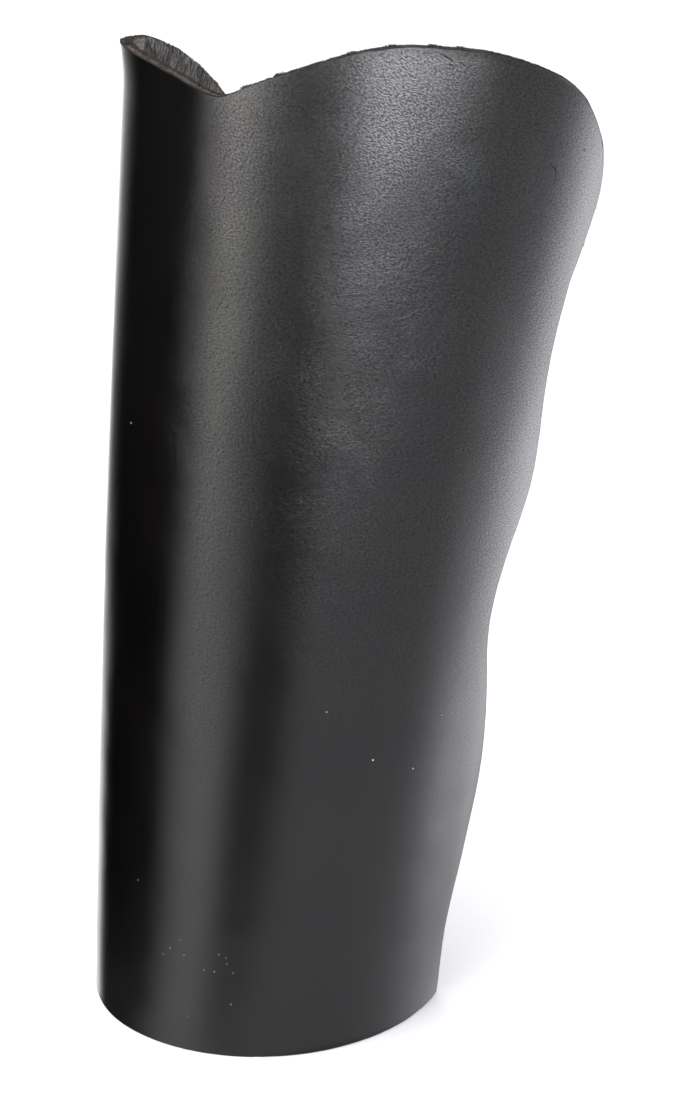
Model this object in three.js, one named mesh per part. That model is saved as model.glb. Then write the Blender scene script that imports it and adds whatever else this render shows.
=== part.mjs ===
// Leather gauntlet: one thick hide panel curled round a forearm and left open down one side.
// It stands on its straight wrist edge, with the scalloped sides and the two-lobed elbow rim above.
// Millimetres, +Z up, with the origin on the ground under the middle of the panel's box.

import * as THREE from 'three';

// Driving dimensions
const WALL = 3;
const ELBOW_HEIGHT = 260;
const CENTRE_TURN = -38;
const CENTRE_LEAN = { x: 24.4, y: -13.3 };
const BOW = 1.1;

// Mesh density of the panel, across and up
const COLUMNS = 44;
const ROWS = 36;

// Radius of the curl where the hide faces each way, at the wrist edge and at elbow height.
// A turn of 0 degrees faces the front (-Y), 90 the right (+X) and -90 the left.
const CURL = [
  { turn: -190, wrist: 48, elbow: 54 },
  { turn: -120, wrist: 48, elbow: 54 },
  { turn: -90, wrist: 43, elbow: 56 },
  { turn: -60, wrist: 40.5, elbow: 60 },
  { turn: -30, wrist: 48.5, elbow: 64 },
  { turn: 0, wrist: 51.5, elbow: 66 },
  { turn: 30, wrist: 52, elbow: 64 },
  { turn: 60, wrist: 52, elbow: 60 },
  { turn: 110, wrist: 52, elbow: 60 },
];

// Side edge of the panel: half its width, measured round the leather from the centre line
const SIDE_EDGE = [
  { height: 0, halfWidth: 95 },
  { height: 24, halfWidth: 93 },
  { height: 45, halfWidth: 97 },
  { height: 66, halfWidth: 100 },
  { height: 85, halfWidth: 97 },
  { height: 113, halfWidth: 90 },
  { height: 130, halfWidth: 92 },
  { height: 152, halfWidth: 99.5 },
  { height: 180, halfWidth: 98 },
  { height: 200, halfWidth: 100.5 },
  { height: 212, halfWidth: 105.5 },
  { height: 223, halfWidth: 109 },
  { height: 233, halfWidth: 106 },
  { height: 240, halfWidth: 100 },
];

// Elbow rim of the panel, from the notch on the centre line, over a crest, to the lobe's corner.
// The hide was cut by hand, so its left half lies a little lower than its right.
const ELBOW_RIM = [
  { across: 0, left: 247.5, right: 247.5 },
  { across: 12, left: 251, right: 250.2 },
  { across: 22, left: 253, right: 253.6 },
  { across: 35, left: 254.7, right: 257.4 },
  { across: 45, left: 255.8, right: 258.8 },
  { across: 55, left: 256.1, right: 258.4 },
  { across: 67, left: 255.4, right: 256.9 },
  { across: 83, left: 251.5, right: 252 },
  { across: 93, left: 246.3, right: 246.5 },
  { across: 100, left: 241, right: 240 },
];

const LOBE_CORNER = ELBOW_RIM[ELBOW_RIM.length - 1];

// A smooth curve through a table's rows, read at one place
function readTable(rows, placeColumn, valueColumn, place) {
  const last = rows.length - 2;
  let row = 0;
  while (row < last && place > rows[row + 1][placeColumn]) row += 1;
  const slopeBetween = (from, to) => {
    const run = rows[to][placeColumn] - rows[from][placeColumn];
    return (rows[to][valueColumn] - rows[from][valueColumn]) / run;
  };
  const slopeAt = (at) => slopeBetween(Math.max(at - 1, 0), Math.min(at + 1, rows.length - 1));
  const span = rows[row + 1][placeColumn] - rows[row][placeColumn];
  const t = (place - rows[row][placeColumn]) / span;
  const start = rows[row][valueColumn];
  const end = rows[row + 1][valueColumn];
  const rise = (3 - 2 * t) * t * t;
  const leave = t * (1 - t) * (1 - t) * span * slopeAt(row);
  const arrive = t * t * (1 - t) * span * slopeAt(row + 1);
  return start + (end - start) * rise + leave - arrive;
}

// The curl seen from above at one level, walked a degree at a time from the centre line.
// Each stop has its place and the girth of leather passed so far.
function walkCurl(level, direction) {
  const stops = [{ turn: CENTRE_TURN, x: 0, y: 0, girth: 0 }];
  const lastTurn = direction > 0 ? CURL[CURL.length - 1].turn : CURL[0].turn;
  const step = THREE.MathUtils.degToRad(1);
  for (let turn = CENTRE_TURN; turn !== lastTurn; turn += direction) {
    const middle = turn + direction / 2;
    const heading = THREE.MathUtils.degToRad(middle);
    const stride = readTable(CURL, 'turn', level, middle) * step;
    const stop = stops[stops.length - 1];
    stops.push({
      turn: turn + direction,
      x: stop.x + direction * stride * Math.cos(heading),
      y: stop.y + direction * stride * Math.sin(heading),
      girth: stop.girth + stride,
    });
  }
  return stops;
}

const WALKS = {
  left: { wrist: walkCurl('wrist', -1), elbow: walkCurl('elbow', -1) },
  right: { wrist: walkCurl('wrist', 1), elbow: walkCurl('elbow', 1) },
};

// The grain-side point that lies `girth` round from the centre line at a height, and the way
// that it faces. Every line of equal turn is straight, as on any curled sheet.
function pointOnCurl(side, girth, height) {
  const { wrist, elbow } = WALKS[side];
  const rise = height / ELBOW_HEIGHT;
  const mix = (index, key) => THREE.MathUtils.lerp(wrist[index][key], elbow[index][key], rise);
  let index = 0;
  while (index < wrist.length - 2 && mix(index + 1, 'girth') < girth) index += 1;
  const passed = mix(index, 'girth');
  const part = (girth - passed) / (mix(index + 1, 'girth') - passed);
  const between = (key) => THREE.MathUtils.lerp(mix(index, key), mix(index + 1, key), part);
  const bulge = BOW * 4 * rise * (1 - rise);
  return {
    x: between('x') + CENTRE_LEAN.x * rise - bulge,
    y: between('y') + CENTRE_LEAN.y * rise,
    z: height,
    facing: THREE.MathUtils.degToRad(between('turn')),
  };
}

// The panel's point at a share of its width (-1 to 1) and of its height (0 to 1)
function panelPoint(across, up) {
  const side = across < 0 ? 'left' : 'right';
  const share = Math.abs(across);
  const rimHeight = readTable(ELBOW_RIM, 'across', side, share * LOBE_CORNER.across);
  const halfWidth = readTable(SIDE_EDGE, 'height', 'halfWidth', up * LOBE_CORNER.right);
  return pointOnCurl(side, share * halfWidth, up * rimHeight);
}

// The panel as one closed skin: the grain side, the flesh side a wall's thickness inside it,
// and the cut edge all the way round
function makePanelGeometry() {
  const positions = [];
  const triangles = [];
  const quad = (a, b, c, d) => triangles.push(a, b, c, a, c, d);

  const stride = ROWS + 1;
  const fleshStart = (COLUMNS + 1) * stride;
  const points = [];
  for (let column = 0; column <= COLUMNS; column += 1) {
    for (let row = 0; row <= ROWS; row += 1) {
      points.push(panelPoint((2 * column) / COLUMNS - 1, row / ROWS));
    }
  }
  for (const point of points) positions.push(point.x, point.y, point.z);
  for (const point of points) {
    const x = point.x - WALL * Math.sin(point.facing);
    const y = point.y + WALL * Math.cos(point.facing);
    positions.push(x, y, point.z);
  }

  const grain = (column, row) => column * stride + row;
  const flesh = (column, row) => fleshStart + column * stride + row;
  for (let column = 0; column < COLUMNS; column += 1) {
    const next = column + 1;
    for (let row = 0; row < ROWS; row += 1) {
      quad(grain(column, row), grain(next, row), grain(next, row + 1), grain(column, row + 1));
      quad(flesh(next, row), flesh(column, row), flesh(column, row + 1), flesh(next, row + 1));
    }
    quad(flesh(column, 0), flesh(next, 0), grain(next, 0), grain(column, 0));
    quad(grain(column, ROWS), grain(next, ROWS), flesh(next, ROWS), flesh(column, ROWS));
  }
  for (let row = 0; row < ROWS; row += 1) {
    const above = row + 1;
    quad(flesh(0, row), grain(0, row), grain(0, above), flesh(0, above));
    quad(grain(COLUMNS, row), flesh(COLUMNS, row), flesh(COLUMNS, above), grain(COLUMNS, above));
  }

  const geometry = new THREE.BufferGeometry();
  geometry.setAttribute('position', new THREE.Float32BufferAttribute(positions, 3));
  geometry.setIndex(triangles);
  geometry.computeVertexNormals();
  return geometry;
}

// Black vegetable-tanned hide, grain side out, with a low waxed sheen
function makeBlackHide() {
  return new THREE.MeshStandardMaterial({ color: 0x1b1a1c, roughness: 0.5, metalness: 0 });
}

function makeLeatherPanel() {
  const panel = new THREE.Mesh(makePanelGeometry(), makeBlackHide());
  panel.name = 'leather_panel';
  panel.geometry.computeBoundingBox();
  const middle = panel.geometry.boundingBox.getCenter(new THREE.Vector3());
  panel.position.set(-middle.x, -middle.y, 0);
  return panel;
}

const gauntlet = new THREE.Group();
gauntlet.add(makeLeatherPanel());

export default gauntlet;
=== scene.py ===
"""The looks of the leather gauntlet, built around its packed panel. Metres, +Z up."""

import math

import bmesh
import bpy
import numpy as np
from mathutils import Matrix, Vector


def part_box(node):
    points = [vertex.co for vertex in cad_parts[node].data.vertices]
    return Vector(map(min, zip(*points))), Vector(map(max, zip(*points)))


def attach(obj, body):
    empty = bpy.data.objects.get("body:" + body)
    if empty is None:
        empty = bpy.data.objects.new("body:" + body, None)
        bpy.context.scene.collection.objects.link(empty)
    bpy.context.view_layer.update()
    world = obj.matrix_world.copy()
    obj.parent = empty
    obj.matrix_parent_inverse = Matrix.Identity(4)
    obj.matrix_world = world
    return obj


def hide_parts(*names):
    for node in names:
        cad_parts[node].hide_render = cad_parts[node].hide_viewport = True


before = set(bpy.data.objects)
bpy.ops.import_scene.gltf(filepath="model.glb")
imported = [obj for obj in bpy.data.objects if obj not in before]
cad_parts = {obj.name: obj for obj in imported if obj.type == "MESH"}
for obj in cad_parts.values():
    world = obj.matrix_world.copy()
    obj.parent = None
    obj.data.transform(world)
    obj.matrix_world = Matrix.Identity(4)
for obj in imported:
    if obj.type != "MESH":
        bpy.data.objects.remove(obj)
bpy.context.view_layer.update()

MM = 0.001
UP = np.array([0.0, 0.0, 1.0])

# Driving dimensions of the panel, as in the part
WALL = 3.0 * MM
ELBOW_HEIGHT = 260.0 * MM
CENTRE_TURN = -38.0
CENTRE_LEAN = (24.4 * MM, -13.3 * MM)
BOW = 1.1 * MM

# Radius of the curl where the hide faces each way. A turn of 0 degrees faces the camera (-Y),
# 90 the right (+X). Columns: turn in degrees, radius in mm at the wrist and at the elbow.
WRIST, ELBOW = 1, 2
CURL = np.array([
    (-190, 48, 54),
    (-120, 48, 54),
    (-90, 43, 56),
    (-60, 40.5, 60),
    (-30, 48.5, 64),
    (0, 51.5, 66),
    (30, 52, 64),
    (60, 52, 60),
    (110, 52, 60),
])

# Half width of the panel round the leather from its centre line. Columns: height, width in mm.
HALF_WIDTH = 1
SIDE_EDGE = np.array([
    (0, 95),
    (24, 93),
    (45, 97),
    (66, 100),
    (85, 97),
    (113, 90),
    (130, 92),
    (152, 99.5),
    (180, 98),
    (200, 100.5),
    (212, 105.5),
    (223, 109),
    (233, 106),
    (240, 100),
])

# Elbow rim of the panel. Columns: distance round from the centre line, left to right, and
# height, in mm.
RIM_HEIGHT = 1
ELBOW_RIM = np.array([
    (-100, 241),
    (-93, 246.3),
    (-83, 251.5),
    (-67, 255.4),
    (-55, 256.1),
    (-45, 255.8),
    (-35, 254.7),
    (-22, 253),
    (-12, 251),
    (-5, 249),
    (1, 247.4),
    (5, 247.4),
    (12, 250.2),
    (22, 253.6),
    (35, 257.4),
    (45, 258.8),
    (55, 258.4),
    (67, 256.9),
    (83, 252),
    (93, 246.5),
    (100, 240),
])
LOBE_CORNER_ACROSS, LOBE_CORNER_HEIGHT = ELBOW_RIM[-1]

# Left lobe's foremost point, where the rim turns outward over its last few millimetres
TIP_GIRTH = -47.0 * MM
TIP_SPREAD = 13.0 * MM
TIP_FLARE = 1.3 * MM
TIP_FLARE_START = 0.955

# Columns of a walk along the curl, a degree of turn at a time
LEFT, RIGHT = -1, 1
GIRTH, TURN, PLACE_X, PLACE_Y = range(4)
HALVINGS = 40

# Points across and up at which the panel's box is measured, twice as close as the part's own
BOX_COLUMNS = 89
BOX_ROWS = 73

# Mesh of the panel: steps across and up, the shares of its width and height that the outermost
# step takes, and the rounding of its two cut corners
COLUMNS = 176
ROWS = 220
EDGE_COLUMN = 0.008
EDGE_ROW = 0.0031
GRAIN_CORNER = 0.18 * MM
FLESH_CORNER = 0.55 * MM
CORNER_TURNS = (0, 30, 60, 90)
CUT_MIDDLES = (0.3, 0.45, 0.6)
GRAIN_SLOT, CUT_SLOT, FLESH_SLOT = range(3)

# Slow waves of the hide, and the unevenness of its flesh side. Columns: seed of the noise, size
# and length in mm.
NOISE_CELLS = 512
HIDE_WAVES = [
    (3, 0.10, 34),
    (4, 0.035, 9),
]
FLESH_RELIEF = [
    (5, 0.10, 2.4),
    (6, 0.12, 7),
]

# Raggedness of the cut edge. Each ring of points through it has a fine seed of its own.
FINE_RAG = 0.06 * MM
FINE_RAG_LENGTH = 1.6 * MM
FINE_RAG_SEED = 20
COARSE_RAG = 0.05 * MM
COARSE_RAG_LENGTH = 5 * MM
COARSE_RAG_SEED = 40

# One strand of loose fibre: corners 0 to 2 are its root, 3 to 5 its middle and 6 its tip
STRAND_CORNERS = 7
STRAND_TAPER = 0.9
STRAND_SKEW = np.array([0.36, 0.48, 0.8])
STRAND_FACES = np.array([
    (0, 1, 4), (0, 4, 3), (1, 2, 5), (1, 5, 4), (2, 0, 3), (2, 3, 5),
    (3, 4, 6), (4, 5, 6), (5, 3, 6), (0, 2, 1),
])

# Loose fibre on the cut edge. Radii and lengths are in mm, and depths are shares of the wall. A
# higher darkness leaves fewer pale strands.
FIBRE_RADII = (0.07, 0.15)
FIBRE_ROOT = 0.15 * MM
FIBRE_LEAN = 0.75
FIBRE_LEAN_ACROSS = 0.6
FIBRE_CURL_ACROSS = 0.5
FIBRE_CURL_ALONG = 0.6
FIBRE_DARKNESS = 2
SHALLOWEST_FIBRE = 0.08
DEEPEST_FIBRE = 0.97
SCATTER_FIBRES = 2600
SCATTER_KEPT_OFF_RIM = 0.3
SCATTER_LENGTHS = (0.15, 0.4)
RIM_FIBRES = 4200
RIM_LENGTH = 0.2
RIM_EXTRA_LENGTH = 0.3
RIM_LEAN = 0.9
RIM_SHALLOWEST_FIBRE = 0.6

# Tufts of loose fibre: places on the elbow rim by girth, and on the right side edge by height,
# in mm, with the fibres in each tuft, their spread and their length
RIM_TUFTS = np.array([-47, -44, -41, 9.5, 17.5, 34, 42.5, 52, 58]) * MM
RIM_TUFT_FIBRES = 24
RIM_TUFT_SPREAD = 0.6 * MM
RIM_TUFT_LENGTH = 0.75 * MM
SIDE_TUFTS = np.array([15, 18, 68, 72, 76, 89.5, 140, 143.5, 149, 163, 211, 219]) * MM
SIDE_TUFT_FIBRES = 22
SIDE_TUFT_SPREAD = 0.28 * MM
SIDE_TUFT_LENGTH = 0.8 * MM

# Nap of the flesh side, thinning out below the rim. Radii and lengths are in mm.
NAP_TUFTS = 17000
NAP_HALF_WIDTH = 0.9
NAP_BELOW_RIM = 0.4 * MM
NAP_REACH = 75.0 * MM
NAP_ROOT = 0.02 * MM
NAP_RADII = (0.05, 0.15)
NAP_LENGTHS = (1.2, 4.2)
NAP_LENGTH_BELOW_RIM = 0.6
NAP_SLANT = -0.35
NAP_SLANT_SPREAD = 0.25
NAP_LIFT = (0.05, 0.35)
NAP_FALL = (-0.3, 0.7)
NAP_DARKNESS = 1.6

# Seeds of the random draws, by what is drawn
SEEDS = {
    "scatter": 51,
    "rim_tuft_places": 52,
    "side_tuft_places": 53,
    "edge_fibres": 54,
    "rim_tufts": 55,
    "side_tufts": 56,
    "rim_fibres": 57,
    "flesh_nap": 61,
    "dust_specks": 71,
}

# Dust on the grain side. Columns: girth from the centre line, height and size, in mm.
SPECK_CORNERS = 14
SPECK_FLATNESS = 0.45
SPECK_LIFT = 0.12
SPECK_BUMPS = (0.75, 1.15)
DUST = [
    (43.5, 100.3, 0.4),
    (56.5, 85.7, 0.55),
    (68.4, 80.8, 0.42),
    (75.7, 94.0, 0.3),
    (10.1, 32.6, 0.28),
    (7.2, 29.4, 0.3),
    (5.1, 27.0, 0.3),
    (11.5, 28.5, 0.26),
    (21.2, 30.5, 0.3),
    (23.1, 29.7, 0.25),
    (23.4, 28.0, 0.25),
    (17.4, 25.2, 0.26),
    (20.2, 25.2, 0.3),
    (25.2, 25.5, 0.28),
    (25.2, 16.0, 0.34),
    (13.9, 10.5, 0.28),
    (-5.0, 45.7, 0.28),
    (-19.4, 167.0, 0.45),
]

# Scratches on the grain side: the girth and height, in mm, of the points that each passes
SCRATCH_WIDTH = 0.2 * MM
SCRATCH_RAISE = 0.03 * MM
SCRATCH_STOPS = 12
SCRATCH_END = 0.15
SCRATCHES = [
    [(53.0, 257.4), (55.3, 256.2), (56.6, 255.4)],
    [(57.2, 255.5), (58.4, 255.1), (60.2, 253.9)],
    [(84.7, 232.0), (87.1, 230.2), (87.8, 227.0)],
    [(96.0, 234.2), (96.8, 233.5)],
    [(55.4, 255.0), (56.6, 254.6)],
    [(78.1, 226.8), (78.8, 226.2)],
]

# Grain of the hide: creases that fall to the right, level ones, and pebbles between them.
# Columns: cells to the millimetre round and up the hide, and slant in degrees.
FALLING_CREASES = (1.45, 3.9, 32)
LEVEL_CREASES = (1.5, 3.9, -8)
PEBBLES = (1.8, 2.8, 15)
CREASE_SHARE = 0.88
PEBBLE_SHARE = 0.12
GRAIN_DEPTH = 0.016 * MM
GRAIN_DRIFT = 0.7
SHINE = 0.5
SHINE_SWING = 0.19

# The grain is worn smooth toward the wrist. Heights in mm, with the share of grain left.
SMOOTH_BELOW = 35.0
FULL_GRAIN_ABOVE = 165.0
WORN_GRAIN = 0.25
GRAIN_ROUGHNESS = (0.155, 0.195)
GRAIN_IOR = 1.5

# Layers of the cut edge by depth from the grain side, in mm: dye, raw hide and a rusty line
DYE_FADES = (0.25, 0.75)
RUST_DEPTH = 2.35
RUST_REACH = 0.5
RUST_SHARE = 0.55

# Relief of the cut edge and of the flesh side, the slant of its combed nap, and how far its
# patches cover it
CUT_RELIEF = 0.25 * MM
NAP_RELIEF = 0.35 * MM
NAP_COMB = math.radians(8)
PATCH_SHARE = 0.45

# Colours
GRAIN_BLACK = (0.0007, 0.0007, 0.0008)
GRAIN_WARM = (0.0010, 0.0008, 0.0007)
CUT_DARK = (0.010, 0.008, 0.007)
CUT_LIGHT = (0.085, 0.070, 0.060)
CUT_RUST = (0.075, 0.034, 0.026)
CUT_DYE = (0.008, 0.0075, 0.0075)
FLESH_DARK = (0.016, 0.0148, 0.0138)
# Pale streaks of the flesh side: its own grey with painted highlight of the lit nap
FLESH_GREY_AND_HIGHLIGHT = (0.20, 0.19, 0.178)
FLESH_PATCH = (0.085, 0.078, 0.071)
FIBRE_DARK = (0.006, 0.0055, 0.005)
EDGE_FIBRE_LIGHT = (0.05, 0.042, 0.036)
# Pale nap strands: their own grey with painted highlight of the lit nap
NAP_FIBRE_GREY_AND_HIGHLIGHT = (0.38, 0.365, 0.345)
DUST_GREY = (0.45, 0.45, 0.46)
SCRATCH_BLACK = (0.003, 0.003, 0.003)
TABLE_DARK = (0.80, 0.80, 0.80)
TABLE_LIGHT = (0.83, 0.83, 0.83)

# Camera: the point looked at, fall of the view in degrees, distance, and the lens that fills
# the frame as the photograph does
TARGET = Vector((5.84 * MM, -9.53 * MM, 130.0 * MM))
PITCH = 18.5
DISTANCE = 520.0 * MM
LENS = 66.66

FLOOR_HALF_WIDTH = 8.0

# The studio as the polished hide mirrors it. An azimuth of 0 degrees is the camera's side, 90
# the right and 180 behind the panel. Columns: name, azimuth, half width and softness of its
# edges, elevation, half height and softness, all in degrees, then brightness. A soft light adds
# its brightness to the surround's; a dark card keeps out that share of the light.
SURROUND = 0.98
SOFT_LIGHTS = [
    ("left_softbox", -60, 24, 14, -3, 20, 22, 2.7),
    ("front_softbox", 7, 33, 15, 5, 14, 10.5, 15.2),
    ("right_softbox", 119, 17, 16, -2, 29, 4, 2.8),
    ("right_bounce", 98, 15, 24, -31, 6, 4, 2.4),
    ("back_softbox", -178, 16, 10, -10, 26, 8, 1.1),
    ("low_back_softbox", -148, 8, 8, -28, 7, 6, 2.2),
    ("overhead_softbox", -42, 75, 20, 36, 34, 28, 12.5),
]
DARK_CARDS = [
    ("left_card", -110, 42, 19, -21.5, 11.5, 4.5, 1.0),
    ("left_high_card", -110, 42, 19, 14, 30, 4, 0.985),
    ("right_card", 164, 15, 10, -9, 40, 10, 0.5),
    ("table_card", 0, 200, 1, -70, 24, 6, 0.75),
    ("camera_card", -21, 15, 12, -11, 23, 4, 0.80),
    ("gap_card", -41, 14, 14, -7, 14, 8, 0.8),
]

# Even light on the table, and the tint of the studio's two sides, with the azimuths in degrees
# between which it changes
EVEN_LIGHT = 1.35
WARM_SIDE = (1.02, 0.995, 0.985)
COOL_SIDE = (0.99, 0.99, 1.04)
TINT_CHANGE = (-60.0, 0.0)


def read_table(table, column, places):
    """A smooth curve through one column of a table, read at many places of the first column."""
    knots = table[:, 0]
    values = table[:, column]
    chord = np.diff(values) / np.diff(knots)
    slopes = np.empty(len(knots))
    slopes[0], slopes[-1] = chord[0], chord[-1]
    slopes[1:-1] = (values[2:] - values[:-2]) / (knots[2:] - knots[:-2])
    row = np.clip(np.searchsorted(knots, places, side="right") - 1, 0, len(knots) - 2)
    span = knots[row + 1] - knots[row]
    t = (places - knots[row]) / span
    rise = (3 - 2 * t) * t * t
    leave = t * (1 - t) ** 2 * span * slopes[row]
    arrive = t * t * (1 - t) * span * slopes[row + 1]
    return values[row] + (values[row + 1] - values[row]) * rise + leave - arrive


def walk_curl(level, direction):
    """The curl from above at one level, walked from the centre line in steps of a degree."""
    last = CURL[-1, 0] if direction == RIGHT else CURL[0, 0]
    turns = np.arange(CENTRE_TURN, last + direction / 2, direction)
    middles = turns[:-1] + direction / 2
    strides = read_table(CURL, level, middles) * MM * math.radians(1)
    headings = np.radians(middles)
    walk = np.zeros((len(turns), 4))
    walk[1:, GIRTH] = np.cumsum(strides)
    walk[:, TURN] = turns
    walk[1:, PLACE_X] = np.cumsum(direction * strides * np.cos(headings))
    walk[1:, PLACE_Y] = np.cumsum(direction * strides * np.sin(headings))
    return walk


WALKS = {side: (walk_curl(WRIST, side), walk_curl(ELBOW, side)) for side in (LEFT, RIGHT)}


def mix_walks(wrist, elbow, stops, column, rise):
    """One column of the walks at wrist and elbow, read at many stops and mixed by height."""
    steps = np.arange(len(wrist))
    low = np.interp(stops, steps, wrist[:, column])
    high = np.interp(stops, steps, elbow[:, column])
    return low * (1 - rise) + high * rise


def find_stops(wrist, elbow, distance, rise):
    """The stops of the mixed walks at which a distance round the leather has been passed."""
    low = np.zeros(distance.shape)
    high = np.full(distance.shape, float(len(wrist) - 1))
    for _ in range(HALVINGS):
        middle = (low + high) / 2
        short = mix_walks(wrist, elbow, middle, GIRTH, rise) < distance
        low = np.where(short, middle, low)
        high = np.where(short, high, middle)
    return low


def curl_points(girth, height):
    """Points on the grain side and their facing in radians, from signed girth and height."""
    girth, height = np.broadcast_arrays(np.asarray(girth, float), np.asarray(height, float))
    points = np.empty(girth.shape + (3,))
    facing = np.empty(girth.shape)
    for side, (wrist, elbow) in WALKS.items():
        here = (girth >= 0) if side == RIGHT else (girth < 0)
        rise = height[here] / ELBOW_HEIGHT
        stops = find_stops(wrist, elbow, np.abs(girth[here]), rise)
        bulge = BOW * 4 * rise * (1 - rise)
        x = mix_walks(wrist, elbow, stops, PLACE_X, rise)
        y = mix_walks(wrist, elbow, stops, PLACE_Y, rise)
        points[here, 0] = x + CENTRE_LEAN[0] * rise - bulge
        points[here, 1] = y + CENTRE_LEAN[1] * rise
        points[here, 2] = height[here]
        facing[here] = np.radians(mix_walks(wrist, elbow, stops, TURN, rise))
    return points, facing


def sheet_places(across, up):
    """Girth and height at shares of the panel's width (-1 to 1) and height (0 to 1)."""
    girth = across * read_table(SIDE_EDGE, HALF_WIDTH, up * LOBE_CORNER_HEIGHT) * MM
    height = up * read_table(ELBOW_RIM, RIM_HEIGHT, across * LOBE_CORNER_ACROSS) * MM
    return girth, height


def tip_flare(up, girth):
    """How far the left lobe's rim turns outward, in metres: most at its foremost point."""
    near_rim = np.clip((up - TIP_FLARE_START) / (1 - TIP_FLARE_START), 0, 1) ** 2
    near_tip = np.exp(-(((girth - TIP_GIRTH) / TIP_SPREAD) ** 2))
    return TIP_FLARE * near_rim * near_tip


def outward(facing):
    """The level direction that the grain side faces."""
    return np.stack([np.sin(facing), -np.cos(facing), np.zeros_like(facing)], axis=-1)


def find_shift():
    """The move that stands the panel's box over the origin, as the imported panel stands."""
    across, up = np.meshgrid(np.linspace(-1, 1, BOX_COLUMNS), np.linspace(0, 1, BOX_ROWS))
    points, facing = curl_points(*sheet_places(across, up))
    both = np.concatenate([points, points - WALL * outward(facing)])
    low, high = both.min(axis=(0, 1)), both.max(axis=(0, 1))
    node_low, node_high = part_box("leather_panel")
    middle = (np.array(node_low) + np.array(node_high)) / 2
    shift = middle - (low + high) / 2
    return np.array([shift[0], shift[1], 0.0])


PANEL_SHIFT = find_shift()


def value_noise(seed, x, y, cell):
    """Smooth seeded noise from -1 to 1 over the sheet, one value for each cell corner."""
    lattice = np.random.default_rng(seed).uniform(-1, 1, (NOISE_CELLS, NOISE_CELLS))
    column, row = x / cell + NOISE_CELLS / 2, y / cell + NOISE_CELLS / 2
    left, below = np.floor(column).astype(int), np.floor(row).astype(int)
    along, above = column - left, row - below
    along, above = along * along * (3 - 2 * along), above * above * (3 - 2 * above)
    left, below = left % NOISE_CELLS, below % NOISE_CELLS
    right, top = (left + 1) % NOISE_CELLS, (below + 1) % NOISE_CELLS
    low = lattice[left, below] * (1 - along) + lattice[right, below] * along
    high = lattice[left, top] * (1 - along) + lattice[right, top] * along
    return low * (1 - above) + high * above


def add_waves(waves, x, y):
    """The sum of a table's waves at places on the hide, in metres."""
    return sum(size * MM * value_noise(seed, x, y, length * MM) for seed, size, length in waves)


def hide_points(girth, height):
    """Points on the grain side with the hide's slow waves, and the way that each faces."""
    points, facing = curl_points(girth, height)
    out = outward(facing)
    waves = np.asarray(add_waves(HIDE_WAVES, girth, height))
    return points + PANEL_SHIFT + out * waves[..., None], out


def make_object(name, vertices, faces, materials, face_slots=None, smooth=True):
    """A mesh object in the scene, with its materials and the slot of each face."""
    mesh = bpy.data.meshes.new(name)
    mesh.from_pydata(np.asarray(vertices).tolist(), [], np.asarray(faces).tolist())
    for material in materials:
        mesh.materials.append(material)
    if face_slots is not None:
        mesh.polygons.foreach_set("material_index", np.asarray(face_slots, np.int32))
    mesh.polygons.foreach_set("use_smooth", np.full(len(mesh.polygons), smooth))
    mesh.update()
    piece = bpy.data.objects.new(name, mesh)
    bpy.context.scene.collection.objects.link(piece)
    return piece


def store_sheet_place(piece, girth, height, depth):
    """Keeps each vertex's place on the flat hide, in millimetres, for the materials to read."""
    place = np.stack([girth, height, depth], axis=-1) / MM
    attribute = piece.data.attributes.new("sheet_mm", "FLOAT_VECTOR", "POINT")
    attribute.data.foreach_set("vector", place.astype(np.float32).ravel())


def corner_stations(radius):
    """Stations round a cut corner from its face: depth below the face, and distance drawn back."""
    turns = np.radians(CORNER_TURNS)
    return [(radius * (1 - math.cos(turn)), radius * (1 - math.sin(turn))) for turn in turns]


def cut_profile():
    """Stations through the cut edge from grain to flesh: depth into the hide, and how far the
    surface has drawn back from the outline."""
    middle = [(WALL * share, 0.0) for share in CUT_MIDDLES]
    flesh = [(WALL - depth, back) for depth, back in reversed(corner_stations(FLESH_CORNER))]
    return corner_stations(GRAIN_CORNER) + middle + flesh


def outline_indices():
    """Grid places round the panel: along the wrist edge, up the right side, back along the
    elbow rim and down the left side."""
    wrist = [(column, 0) for column in range(COLUMNS)]
    right = [(COLUMNS, row) for row in range(ROWS)]
    rim = [(column, ROWS) for column in range(COLUMNS, 0, -1)]
    left = [(0, row) for row in range(ROWS, 0, -1)]
    return np.array(wrist + right + rim + left)


class Outline:
    """The cut outline of the panel on its grain side, a step at a time round the hide."""

    def __init__(self, grid_points, grid_normals, girth, height):
        column, row = outline_indices().T
        self.column, self.row = column, row
        self.points, self.normals = grid_points[column, row], grid_normals[column, row]
        self.girth, self.height = girth[column, row], height[column, row]
        run = np.roll(self.points, -1, axis=0) - np.roll(self.points, 1, axis=0)
        drawn_out = np.cross(run, self.normals)
        self.drawn_out = drawn_out / np.linalg.norm(drawn_out, axis=1)[:, None]
        steps = np.linalg.norm(np.roll(self.points, -1, axis=0) - self.points, axis=1)
        self.along = np.concatenate([[0], np.cumsum(steps)[:-1]])
        self.wrist_end = self.along[COLUMNS]
        self.right_end = self.along[COLUMNS + ROWS]
        self.rim_end = self.along[2 * COLUMNS + ROWS]
        self.length = steps.sum()

    def read(self, along):
        """Point, grain-side normal and direction off the cut edge at distances round the hide."""
        found = []
        for values in (self.points, self.normals, self.drawn_out):
            columns = [np.interp(along, self.along, values[:, axis]) for axis in range(3)]
            found.append(np.stack(columns, axis=-1))
        return found

    def rim_place(self, girth):
        """Distance round the hide at which the elbow rim passes a girth."""
        rim = slice(COLUMNS + ROWS, 2 * COLUMNS + ROWS)
        return np.interp(-girth, -self.girth[rim], self.along[rim])

    def side_place(self, height):
        """Distance round the hide at which the right side edge passes a height."""
        side = slice(COLUMNS, COLUMNS + ROWS)
        return np.interp(height, self.height[side], self.along[side])


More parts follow.
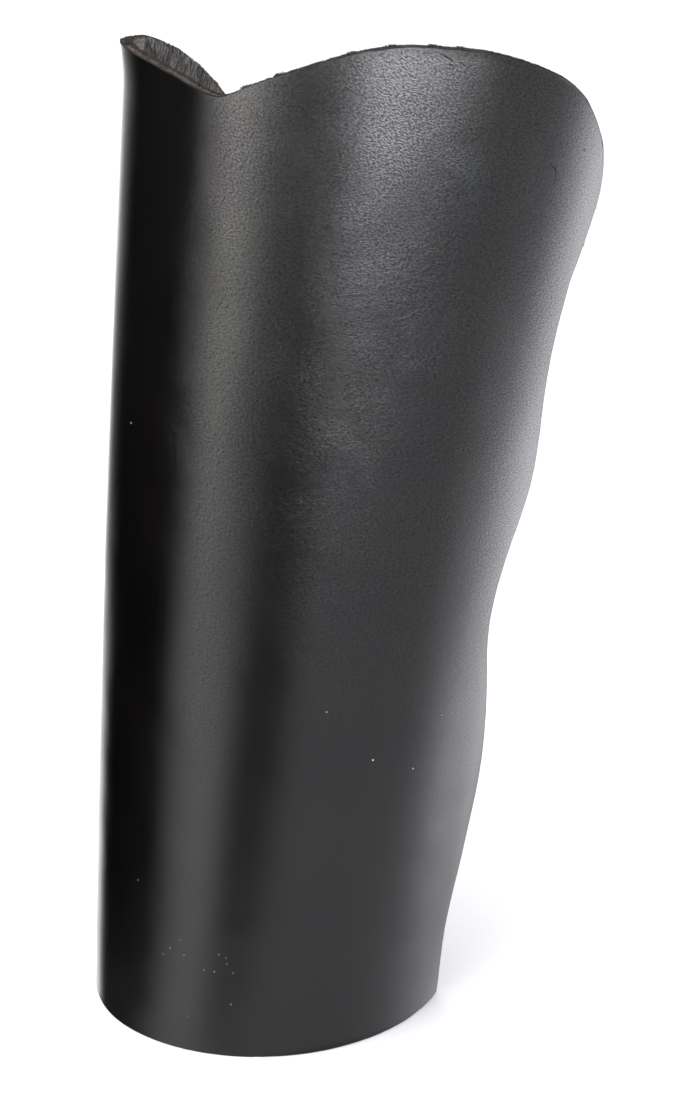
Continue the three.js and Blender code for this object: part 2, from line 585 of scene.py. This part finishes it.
def panel_grid():
    """Points, normals, girth and height over the grain side, with the hide's slow waves."""
    columns = np.linspace(-1, 1, COLUMNS + 1)
    rows = np.linspace(0, 1, ROWS + 1)
    columns[1], columns[-2] = columns[0] + EDGE_COLUMN, columns[-1] - EDGE_COLUMN
    rows[1], rows[-2] = rows[0] + EDGE_ROW, rows[-1] - EDGE_ROW
    across, up = np.meshgrid(columns, rows, indexing="ij")
    girth, height = sheet_places(across, up)
    points, normals = hide_points(girth, height)
    return points + normals * tip_flare(up, girth)[..., None], normals, girth, height


def cut_rings(outline):
    """Rings of points through the cut edge from grain to flesh, and the depth of each point."""
    along = outline.along
    rings, depths = [], []
    for station, (depth, inset) in enumerate(cut_profile()):
        fine = value_noise(FINE_RAG_SEED + station, along, along * 0, FINE_RAG_LENGTH)
        coarse = value_noise(COARSE_RAG_SEED, along, along * 0, COARSE_RAG_LENGTH)
        ragged = FINE_RAG * (1 + fine) + COARSE_RAG * (1 + coarse)
        drawn_back = outline.drawn_out * (inset + ragged)[:, None]
        ring = outline.points - drawn_back - outline.normals * depth
        ring[:, 2] = np.maximum(ring[:, 2], 0)
        rings.append(ring)
        depths.append(np.full(len(ring), depth))
    return rings, depths


def mark_sharp_ring(piece, ring):
    """Makes the edges along a ring of vertices sharp, so that the shading breaks there."""
    on_ring = np.zeros(len(piece.data.vertices), bool)
    on_ring[ring] = True
    ends = np.empty(2 * len(piece.data.edges), np.int32)
    piece.data.edges.foreach_get("vertices", ends)
    sharp = on_ring[ends.reshape(-1, 2)].all(axis=1)
    attribute = piece.data.attributes.new("sharp_edge", "BOOLEAN", "EDGE")
    attribute.data.foreach_set("value", sharp)


def make_panel(grid, outline, materials):
    """The hide itself: a closed shell with grain side, rounded cut edge and flesh side."""
    grain, normals, girth, height = grid
    grain = grain.copy()
    nap = add_waves(FLESH_RELIEF, girth, height)
    flesh = grain - normals * (WALL - nap)[..., None]
    rings, depths = cut_rings(outline)
    column, row = outline.column, outline.row
    grain[column, row] = rings[0]
    flesh[column, row] = rings[-1]

    count = (COLUMNS + 1) * (ROWS + 1)
    middle_rings = rings[1:-1]
    vertices = np.concatenate([grain.reshape(-1, 3), flesh.reshape(-1, 3)] + middle_rings)
    corner = np.arange(count).reshape(COLUMNS + 1, ROWS + 1)
    near, far = corner[:-1], corner[1:]
    quads = np.stack([near[:, :-1], far[:, :-1], far[:, 1:], near[:, 1:]], axis=-1).reshape(-1, 4)
    flesh_quads = quads[:, ::-1] + count
    ring_length = len(outline.along)
    ring_ids = [corner[column, row]]
    for index in range(len(middle_rings)):
        ring_ids.append(2 * count + index * ring_length + np.arange(ring_length))
    ring_ids.append(corner[column, row] + count)
    cut_faces, cut_slots = [], []
    for outer, inner in zip(ring_ids[:-1], ring_ids[1:]):
        cut_faces.append(np.stack([outer, inner, np.roll(inner, -1), np.roll(outer, -1)], 1))
        cut_slots.append(np.full(len(outer), CUT_SLOT))
    faces = np.concatenate([quads, flesh_quads] + cut_faces)
    side_slots = [np.full(len(quads), GRAIN_SLOT), np.full(len(quads), FLESH_SLOT)]
    panel = make_object("hide_panel", vertices, faces, materials, np.concatenate(side_slots + cut_slots))

    repeats = len(middle_rings)
    all_girth = np.concatenate([girth.ravel(), girth.ravel()] + [outline.girth] * repeats)
    all_height = np.concatenate([height.ravel(), height.ravel()] + [outline.height] * repeats)
    all_depth = np.concatenate([np.zeros(count), np.full(count, WALL)] + depths[1:-1])
    store_sheet_place(panel, all_girth, all_height, all_depth)
    mark_sharp_ring(panel, ring_ids[0])
    return panel


def make_strands(name, roots, paths, radii, shades, material):
    """Tapered three-sided strands as one piece. A path holds the two steps of each strand."""
    steps = np.linalg.norm(paths[:, 0], axis=1)[:, None]
    heading = paths[:, 0] / steps
    aside = np.cross(heading, STRAND_SKEW)
    aside /= np.linalg.norm(aside, axis=1)[:, None]
    third = np.cross(heading, aside)
    middles = roots + paths[:, 0]
    tips = middles + paths[:, 1]
    corners = []
    for place, share in ((roots, 1.0), (middles, STRAND_TAPER)):
        for turn in np.radians([0, 120, 240]):
            ring = aside * math.cos(turn) + third * math.sin(turn)
            corners.append(place + ring * (radii * share)[:, None])
    corners.append(tips)
    vertices = np.stack(corners, axis=1).reshape(-1, 3)
    starts = STRAND_CORNERS * np.arange(len(roots))
    faces = (STRAND_FACES[None] + starts[:, None, None]).reshape(-1, 3)
    piece = make_object(name, vertices, faces, [material], smooth=False)
    shade = piece.data.attributes.new("shade", "FLOAT", "POINT")
    shade.data.foreach_set("value", np.repeat(shades, STRAND_CORNERS).astype(np.float32))
    return piece


def make_edge_fibres(name, outline, along, lengths, material,
                     lean=FIBRE_LEAN, from_depth=SHALLOWEST_FIBRE):
    """Short fibres that stand off the cut edge at distances round the hide, from a share of its
    thickness inward."""
    rng = np.random.default_rng(SEEDS[name])
    count = len(along)
    points, normals, drawn_out = outline.read(along)
    depth = rng.uniform(from_depth, DEEPEST_FIBRE, count) * WALL
    roots = points - normals * depth[:, None] - drawn_out * FIBRE_ROOT
    ahead = np.cross(normals, drawn_out)
    leans = rng.normal(0, lean, (count, 2))
    first = drawn_out + normals * leans[:, :1] * FIBRE_LEAN_ACROSS + ahead * leans[:, 1:]
    curl_across = normals * rng.normal(0, FIBRE_CURL_ACROSS, (count, 1))
    curl_along = ahead * rng.normal(0, FIBRE_CURL_ALONG, (count, 1))
    second = first + curl_across + curl_along
    paths = np.stack([first, second], axis=1) * (lengths / 2)[:, None, None]
    radii = rng.uniform(*FIBRE_RADII, count) * MM
    shades = rng.uniform(0, 1, count) ** FIBRE_DARKNESS
    return make_strands(name, roots, paths, radii, shades, material)


def spread_tufts(drawn, places, fibres, spread):
    """Distances round the hide for tufts, a number of fibres close about each place."""
    rng = np.random.default_rng(SEEDS[drawn])
    return np.repeat(places, fibres) + rng.normal(0, spread, fibres * len(places))


def make_cut_fibres(outline, material):
    """All loose fibre of the cut edge: a thin scatter, a line along the flesh side of the elbow
    rim, and tufts on the rim and on the right side edge."""
    rng = np.random.default_rng(SEEDS["scatter"])
    scatter = rng.uniform(outline.wrist_end, outline.length, SCATTER_FIBRES)
    on_rim = (scatter > outline.right_end) & (scatter < outline.rim_end)
    scatter = scatter[on_rim | (rng.uniform(0, 1, SCATTER_FIBRES) < SCATTER_KEPT_OFF_RIM)]
    scatter_lengths = rng.uniform(*SCATTER_LENGTHS, len(scatter)) * MM
    rim = rng.uniform(outline.right_end, outline.rim_end, RIM_FIBRES)
    rim_lengths = (RIM_LENGTH + RIM_EXTRA_LENGTH * rng.uniform(0, 1, RIM_FIBRES) ** 2) * MM
    rim_places, side_places = outline.rim_place(RIM_TUFTS), outline.side_place(SIDE_TUFTS)
    rim_tufts = spread_tufts("rim_tuft_places", rim_places, RIM_TUFT_FIBRES, RIM_TUFT_SPREAD)
    side_tufts = spread_tufts("side_tuft_places", side_places, SIDE_TUFT_FIBRES, SIDE_TUFT_SPREAD)
    rim_tuft_lengths = np.full(len(rim_tufts), RIM_TUFT_LENGTH)
    side_tuft_lengths = np.full(len(side_tufts), SIDE_TUFT_LENGTH)
    return [
        make_edge_fibres("edge_fibres", outline, scatter, scatter_lengths, material),
        make_edge_fibres("rim_fibres", outline, rim, rim_lengths, material,
                         RIM_LEAN, RIM_SHALLOWEST_FIBRE),
        make_edge_fibres("rim_tufts", outline, rim_tufts, rim_tuft_lengths, material),
        make_edge_fibres("side_tufts", outline, side_tufts, side_tuft_lengths, material),
    ]


def make_flesh_nap(material):
    """Combed tufts on the flesh side, below the elbow rim."""
    rng = np.random.default_rng(SEEDS["flesh_nap"])
    count = NAP_TUFTS
    across = rng.uniform(-NAP_HALF_WIDTH, NAP_HALF_WIDTH, count)
    below = NAP_BELOW_RIM + NAP_REACH * (1 - np.sqrt(rng.uniform(0, 1, count)))
    up = 1 - below / ELBOW_HEIGHT
    points, out = hide_points(*sheet_places(across, up))
    inward = -out
    round_hide = np.cross(inward, UP)
    roots = points + inward * (WALL - NAP_ROOT)
    slant = rng.normal(NAP_SLANT, NAP_SLANT_SPREAD, count)[:, None]
    heading = UP + round_hide * slant
    heading /= np.linalg.norm(heading, axis=1)[:, None]
    lengths = rng.uniform(*NAP_LENGTHS, count) * MM
    lengths = np.minimum(lengths, below * NAP_LENGTH_BELOW_RIM)
    lift = rng.uniform(*NAP_LIFT, count)[:, None]
    first = heading + inward * lift
    second = heading - inward * lift * rng.uniform(*NAP_FALL, (count, 1))
    paths = np.stack([first, second], axis=1) * (lengths / 2)[:, None, None]
    radii = rng.uniform(*NAP_RADII, count) * MM
    # The pale strands hold painted highlight of the lit nap as well as their own grey
    shades = rng.uniform(0, 1, count) ** NAP_DARKNESS
    return make_strands("flesh_nap", roots, paths, radii, shades, material)


def make_dust(material):
    """Specks of dust on the grain side, each a small flattened grain."""
    rng = np.random.default_rng(SEEDS["dust_specks"])
    golden = math.pi * (3 - math.sqrt(5))
    turns = golden * np.arange(SPECK_CORNERS)
    level = 1 - 2 * (np.arange(SPECK_CORNERS) + 0.5) / SPECK_CORNERS
    ring = np.sqrt(1 - level * level)
    ball = np.stack([ring * np.cos(turns), ring * np.sin(turns), level], axis=1)
    shape = bmesh.new()
    for girth, height, size in DUST:
        points, out = hide_points(girth * MM, height * MM)
        axes = np.stack([np.cross(UP, out), UP, out * SPECK_FLATNESS])
        bumpy = ball * rng.uniform(*SPECK_BUMPS, (SPECK_CORNERS, 1)) * size * MM / 2
        corners = points + bumpy @ axes + out * SPECK_LIFT * size * MM
        made = [shape.verts.new(corner) for corner in corners]
        hull = bmesh.ops.convex_hull(shape, input=made)
        spare = [piece for piece in hull["geom_interior"] if isinstance(piece, bmesh.types.BMVert)]
        bmesh.ops.delete(shape, geom=spare, context="VERTS")
    mesh = bpy.data.meshes.new("dust_specks")
    shape.to_mesh(mesh)
    shape.free()
    mesh.materials.append(material)
    piece = bpy.data.objects.new("dust_specks", mesh)
    bpy.context.scene.collection.objects.link(piece)
    return piece


def make_scratches(material):
    """Thin dark scratches that lie on the grain side, each a narrow ribbon that tapers away."""
    taper = np.sin(np.linspace(SCRATCH_END, math.pi - SCRATCH_END, SCRATCH_STOPS))[:, None]
    vertices, faces = [], []
    for trail in SCRATCHES:
        trail = np.array(trail, float) * MM
        places = np.linspace(0, len(trail) - 1, SCRATCH_STOPS)
        girth = np.interp(places, np.arange(len(trail)), trail[:, 0])
        height = np.interp(places, np.arange(len(trail)), trail[:, 1])
        points, out = hide_points(girth, height)
        points = points + out * SCRATCH_RAISE
        aside = np.cross(out, np.gradient(points, axis=0))
        aside /= np.linalg.norm(aside, axis=1)[:, None]
        half = SCRATCH_WIDTH / 2 * taper
        start = len(vertices)
        for left, right in zip(points + aside * half, points - aside * half):
            vertices += [left, right]
        for step in range(SCRATCH_STOPS - 1):
            corner = start + 2 * step
            faces.append((corner, corner + 1, corner + 3, corner + 2))
    return make_object("scratches", vertices, faces, [material])


class Nodes:
    """A node tree of a material or the world, with short calls for the nodes that they use."""

    def __init__(self, owner, shader="Principled BSDF"):
        owner.use_nodes = True
        self.owner = owner
        self.tree = owner.node_tree
        self.shader = self.tree.nodes[shader]

    def add(self, kind, inputs=(), **settings):
        """A new node with its settings and inputs; an input is a value or another node's output."""
        node = self.tree.nodes.new("ShaderNode" + kind)
        for setting, value in settings.items():
            setattr(node, setting, value)
        for socket, value in dict(inputs).items():
            if isinstance(value, bpy.types.NodeSocket):
                self.tree.links.new(value, node.inputs[socket])
            else:
                node.inputs[socket].default_value = value
        return node

    def sheet(self, scale=(1, 1, 1), turn=0.0, warp=None):
        """The place on the flat hide in millimetres, warped, turned and scaled."""
        place = self.add("Attribute", attribute_name="sheet_mm").outputs["Vector"]
        if warp is not None:
            place = self.add("VectorMath", {0: place, 1: warp}, operation="ADD").outputs[0]
        if turn:
            inputs = {"Vector": place, "Angle": turn}
            place = self.add("VectorRotate", inputs, rotation_type="Z_AXIS").outputs["Vector"]
        return self.add("VectorMath", {0: place, 1: scale}, operation="MULTIPLY").outputs[0]

    def drift(self, amount):
        """A slow wandering of the place on the hide, up to a number of millimetres each way."""
        inputs = {"Vector": self.sheet(), "Scale": 0.5, "Detail": 1.0}
        wander = self.add("TexNoise", inputs, noise_dimensions="2D").outputs["Color"]
        middle = (0.5, 0.5, 0.5)
        pull = self.add("VectorMath", {0: wander, 1: middle}, operation="SUBTRACT").outputs[0]
        return self.add("VectorMath", {0: pull, "Scale": amount}, operation="SCALE").outputs[0]

    def noise(self, vector, scale, detail=1.0, roughness=0.5, flat=True):
        """Noise from 0 to 1 with a number of cells to the millimetre."""
        inputs = {"Vector": vector, "Scale": scale, "Detail": detail, "Roughness": roughness}
        dimensions = "2D" if flat else "3D"
        return self.add("TexNoise", inputs, noise_dimensions=dimensions).outputs["Fac"]

    def creases(self, row, warp):
        """Noise stretched into creases by a row of their own, lowest in the bed of a crease."""
        cells_round, cells_up, slant = row
        place = self.sheet((cells_round, cells_up, 1), math.radians(slant), warp)
        return self.noise(place, 1.0, 1.5, 0.6)

    def pebbles(self, row, warp):
        """Rounded pebbles by a row of their own, 1 at a crown and 0 far from one."""
        cells_round, cells_up, slant = row
        place = self.sheet((cells_round, cells_up, 1), math.radians(slant), warp)
        cells = self.add("TexVoronoi", {"Vector": place, "Scale": 1.0}, voronoi_dimensions="2D")
        return self.span(cells.outputs["Distance"], 0.0, 0.8, 1.0, 0.0)

    def span(self, value, low, high, to_low=0.0, to_high=1.0, smooth=False):
        """A value carried from one span to another and held at its ends."""
        ends = {"From Min": low, "From Max": high, "To Min": to_low, "To Max": to_high}
        shape = "SMOOTHSTEP" if smooth else "LINEAR"
        node = self.add("MapRange", {"Value": value, **ends}, interpolation_type=shape)
        return node.outputs["Result"]

    def math(self, operation, a, b=0.0, c=0.0):
        """One sum on up to three values."""
        return self.add("Math", {0: a, 1: b, 2: c}, operation=operation).outputs[0]

    def mix(self, share, low, high):
        """A value between two others."""
        return self.add("Mix", {0: share, 2: low, 3: high}).outputs[0]

    def blend(self, share, low, high):
        """A colour between two others."""
        node = self.add("Mix", {0: share}, data_type="RGBA")
        for socket, value in ((6, low), (7, high)):
            if isinstance(value, bpy.types.NodeSocket):
                self.tree.links.new(value, node.inputs[socket])
            else:
                node.inputs[socket].default_value = (*value, 1)
        return node.outputs[2]

    def set(self, socket, value):
        """A link or a plain value for one of the shader's sockets."""
        if isinstance(value, bpy.types.NodeSocket):
            self.tree.links.new(value, self.shader.inputs[socket])
        elif hasattr(value, "__len__"):
            self.shader.inputs[socket].default_value = (*value, 1)
        else:
            self.shader.inputs[socket].default_value = value

    def bump(self, height, distance):
        """Relief of the shader's surface, as deep as a distance in metres."""
        inputs = {"Height": height, "Distance": distance, "Strength": 1.0}
        self.set("Normal", self.add("Bump", inputs).outputs["Normal"])


def make_grain_hide():
    """Black hide, grain side: a fine pebble with creases that run aslant, under a waxed sheen."""
    n = Nodes(bpy.data.materials.new("black_grain_hide"))
    warp = n.drift(GRAIN_DRIFT)
    falling = n.creases(FALLING_CREASES, warp)
    level = n.creases(LEVEL_CREASES, warp)
    where = n.span(n.noise(n.sheet(), 0.05), 0.36, 0.52)
    crease = n.span(n.mix(where, level, falling), 0.25, 0.75)
    pebble = n.pebbles(PEBBLES, warp)
    relief = n.math("MULTIPLY_ADD", pebble, PEBBLE_SHARE, n.math("MULTIPLY", crease, CREASE_SHARE))

    height = n.add("SeparateXYZ", {0: n.sheet()}).outputs["Y"]
    fullness = n.span(height, SMOOTH_BELOW, FULL_GRAIN_ABOVE, WORN_GRAIN, 1.0)
    n.bump(n.math("MULTIPLY", relief, fullness), GRAIN_DEPTH)
    swing = n.math("MULTIPLY", n.span(relief, 0.3, 0.7, -SHINE_SWING, SHINE_SWING), fullness)
    n.set("Specular IOR Level", n.math("ADD", swing, SHINE))

    patches = n.noise(n.sheet(), 0.03, 2.0)
    n.set("Base Color", n.blend(n.span(patches, 0.35, 0.65), GRAIN_BLACK, GRAIN_WARM))
    n.set("Roughness", n.span(patches, 0.3, 0.7, *GRAIN_ROUGHNESS))
    n.set("IOR", GRAIN_IOR)
    return n.owner


def make_cut_hide():
    """The raw cut edge: brown-grey fibres that run along the hide, darker at the grain."""
    n = Nodes(bpy.data.materials.new("cut_hide_edge"))
    depth = n.add("SeparateXYZ", {0: n.sheet()}).outputs["Z"]
    layers = n.noise(n.sheet((0.25, 0.25, 3.0)), 1.0, 3.0, 0.65, flat=False)
    tone = n.blend(n.span(layers, 0.35, 0.68), CUT_DARK, CUT_LIGHT)
    off_rust = n.math("ABSOLUTE", n.math("SUBTRACT", depth, RUST_DEPTH))
    tone = n.blend(n.span(off_rust, 0.0, RUST_REACH, RUST_SHARE, 0.0), tone, CUT_RUST)
    n.set("Base Color", n.blend(n.span(depth, *DYE_FADES, 1.0, 0.0), tone, CUT_DYE))
    n.set("Roughness", 0.85)
    n.set("Specular IOR Level", 0.08)
    fibres = n.noise(n.sheet((0.7, 0.7, 4.0)), 1.3, 3.0, 0.7, flat=False)
    n.bump(fibres, CUT_RELIEF)
    return n.owner


def make_flesh_hide():
    """The flesh side: grey nap, combed nearly upright, patchy and matt. Its pale streaks are partly the
    nap's own grey and partly painted highlight of the lit nap.
    """
    n = Nodes(bpy.data.materials.new("flesh_side_nap_and_highlight"))
    combed = n.noise(n.sheet((2.6, 0.28, 1.0), NAP_COMB), 1.0, 4.0, 0.65)
    patches = n.noise(n.sheet(), 0.09, 3.0)
    # Combed streaks from dark to pale: the pale ones are partly painted highlight of the lit nap
    tone = n.blend(n.span(combed, 0.36, 0.62), FLESH_DARK, FLESH_GREY_AND_HIGHLIGHT)
    n.set("Base Color", n.blend(n.span(patches, 0.35, 0.7, 0.0, PATCH_SHARE), tone, FLESH_PATCH))
    n.set("Roughness", 0.95)
    n.set("Specular IOR Level", 0.08)
    n.set("Sheen Weight", 0.15)
    n.set("Sheen Roughness", 0.5)
    fuzz = n.noise(n.sheet((3.0, 0.5, 1.0), NAP_COMB), 1.6, 3.0, 0.7)
    n.bump(fuzz, NAP_RELIEF)
    return n.owner


def make_fibre(name, dark, light):
    """Loose leather fibre, from a dark to a light colour by the shade of each strand."""
    n = Nodes(bpy.data.materials.new(name))
    shade = n.add("Attribute", attribute_name="shade").outputs["Fac"]
    n.set("Base Color", n.blend(shade, dark, light))
    n.set("Roughness", 0.8)
    n.set("Specular IOR Level", 0.15)
    return n.owner


def make_plain(name, colour):
    """An even, dull finish."""
    n = Nodes(bpy.data.materials.new(name))
    n.set("Base Color", colour)
    n.set("Roughness", 0.9)
    n.set("Specular IOR Level", 0.05)
    return n.owner


def make_camera():
    """The photograph's own view of the panel."""
    data = bpy.data.cameras.new("camera")
    data.lens = LENS
    camera = bpy.data.objects.new("camera", data)
    fall = math.radians(PITCH)
    camera.location = TARGET + DISTANCE * Vector((0, -math.cos(fall), math.sin(fall)))
    camera.rotation_euler = (math.radians(90) - fall, 0, 0)
    bpy.context.scene.collection.objects.link(camera)
    bpy.context.scene.camera = camera


def make_floor():
    """A wide pale table that the panel stands on."""
    n = Nodes(bpy.data.materials.new("pale_table"))
    mottle = n.add("TexNoise", {"Scale": 3.0, "Detail": 2.0}).outputs["Fac"]
    n.set("Base Color", n.blend(mottle, TABLE_DARK, TABLE_LIGHT))
    n.set("Roughness", 0.7)
    half = FLOOR_HALF_WIDTH
    corners = [(-half, -half, 0), (half, -half, 0), (half, half, 0), (-half, half, 0)]
    floor = make_object("floor", corners, [(0, 1, 2, 3)], [n.owner])
    floor.visible_glossy = False


def soft_edged(n, azimuth, elevation, row):
    """What a soft light or dark card gives in one direction, by its row: all of its brightness
    inside its edges and nothing outside them."""
    _, middle, half_width, width_edge, height, half_height, height_edge, brightness = row
    turn = n.math("SUBTRACT", azimuth, float(middle))
    turn = n.math("ABSOLUTE", n.math("WRAP", turn, 180.0, -180.0))
    rise = n.math("ABSOLUTE", n.math("SUBTRACT", elevation, float(height)))
    near, far = half_width - width_edge, half_width + width_edge
    across = n.span(turn, near, far, 1.0, 0.0, smooth=True)
    low, high = half_height - height_edge, half_height + height_edge
    up = n.span(rise, low, high, float(brightness), 0.0, smooth=True)
    return n.math("MULTIPLY", across, up)


def make_world():
    """The studio round the panel: even light on the table, and for what the hide mirrors,
    soft-edged lights and dark cards."""
    n = Nodes(bpy.data.worlds.new("studio"), "Background")
    away = n.add("SeparateXYZ", {0: n.add("TexCoord").outputs["Generated"]}).outputs
    toward_camera = n.math("MULTIPLY", away["Y"], -1.0)
    azimuth = n.math("DEGREES", n.math("ARCTAN2", away["X"], toward_camera))
    elevation = n.math("DEGREES", n.math("ARCSINE", away["Z"]))
    light = SURROUND
    for row in SOFT_LIGHTS:
        light = n.math("ADD", soft_edged(n, azimuth, elevation, row), light)
    for row in DARK_CARDS:
        passed = n.math("SUBTRACT", 1.0, soft_edged(n, azimuth, elevation, row))
        light = n.math("MULTIPLY", light, passed)
    mirrored = n.add("LightPath").outputs["Is Glossy Ray"]
    n.set("Color", n.blend(n.span(azimuth, *TINT_CHANGE), WARM_SIDE, COOL_SIDE))
    n.set("Strength", n.mix(mirrored, EVEN_LIGHT, light))
    n.owner.cycles.sampling_method = "NONE"
    bpy.context.scene.world = n.owner


def make_softbox(name, azimuth, elevation, distance, size, power):
    """A softbox that shines on the table and on dull surfaces, and that the hide doesn't mirror."""
    data = bpy.data.lights.new(name, "AREA")
    data.size = size
    data.energy = power
    light = bpy.data.objects.new(name, data)
    turn, rise = math.radians(azimuth), math.radians(elevation)
    level = math.cos(rise)
    away = Vector((math.sin(turn) * level, -math.cos(turn) * level, math.sin(rise)))
    light.location = away * distance
    light.rotation_euler = away.to_track_quat("Z", "Y").to_euler()
    light.visible_glossy = False
    bpy.context.scene.collection.objects.link(light)


grid = panel_grid()
outline = Outline(*grid)
edge_fibre = make_fibre("edge_fibre", FIBRE_DARK, EDGE_FIBRE_LIGHT)
nap_fibre_and_highlight = make_fibre("nap_fibre_and_highlight", FIBRE_DARK, NAP_FIBRE_GREY_AND_HIGHLIGHT)

panel = make_panel(grid, outline, [make_grain_hide(), make_cut_hide(), make_flesh_hide()])
pieces = [
    panel,
    *make_cut_fibres(outline, edge_fibre),
    make_flesh_nap(nap_fibre_and_highlight),
    make_dust(make_plain("pale_dust", DUST_GREY)),
    make_scratches(make_plain("scratched_hide", SCRATCH_BLACK)),
]
for piece in pieces:
    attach(piece, "root")
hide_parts("leather_panel")

make_camera()
make_floor()
make_world()
make_softbox("key_softbox", azimuth=-45, elevation=62, distance=1.2, size=0.7, power=8)
bpy.context.scene.view_settings.view_transform = "Standard"
